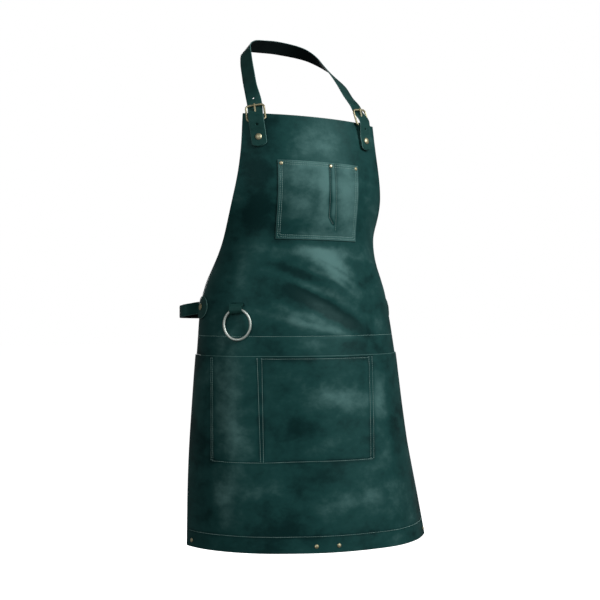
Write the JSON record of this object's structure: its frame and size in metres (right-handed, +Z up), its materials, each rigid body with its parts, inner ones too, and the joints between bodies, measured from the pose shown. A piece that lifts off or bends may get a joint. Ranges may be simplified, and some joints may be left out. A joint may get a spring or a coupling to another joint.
{
  "type": "blacksmith apron",
  "caption": "Full-length leather work apron in worn form, with buckled neck strap, waist strap, chest pocket, pocketed skirt panel and a hanging tool ring.",
  "frame": {"origin": "inner face of the neck strap at the nape, where the apron hangs", "axes": "+Z up along the wearer's back, -Y the way that the wearer faces, +X to the wearer's left"},
  "size_m": [0.4914, 0.357, 1.0257],
  "materials": {
    "leather": "dark green waxed hide with paler pull-up patches and a satin sheen",
    "brass": "aged brass, worn brighter on the edges",
    "nickel": "pale plated wire, lightly tarnished"
  },
  "bodies": {
    "apron": {"body_panel": "leather", "skirt_panel": "leather", "chest_pocket": "leather", "neck_strap": "leather", "chape_right": "leather", "chape_left": "leather", "waist_strap_right": "leather", "waist_strap_left": "leather", "ring_loop": "leather", "buckle_frame_right": "brass", "buckle_frame_left": "brass", "buckle_prong_right": "brass", "buckle_prong_left": "brass", "strap_stud_right": "brass", "strap_stud_left": "brass", "waist_stud_right": "brass", "waist_stud_left": "brass", "pocket_rivet_1": "brass", "pocket_rivet_2": "brass", "pocket_rivet_3": "brass", "hem_stud_1": "brass", "hem_stud_2": "brass", "hem_stud_3": "brass", "hem_stud_4": "brass", "back_clasp": "brass"},
    "ring": {"ring": "nickel"}
  },
  "joints": [
    {"name": "ring_swing", "type": "hinge", "parent": "apron", "child": "ring", "pos_m": [-0.16301, -0.1722, -0.5503], "axis": [-0.8029, 0.5912, -0.0757], "range_deg": [0, 120]}
  ]
}
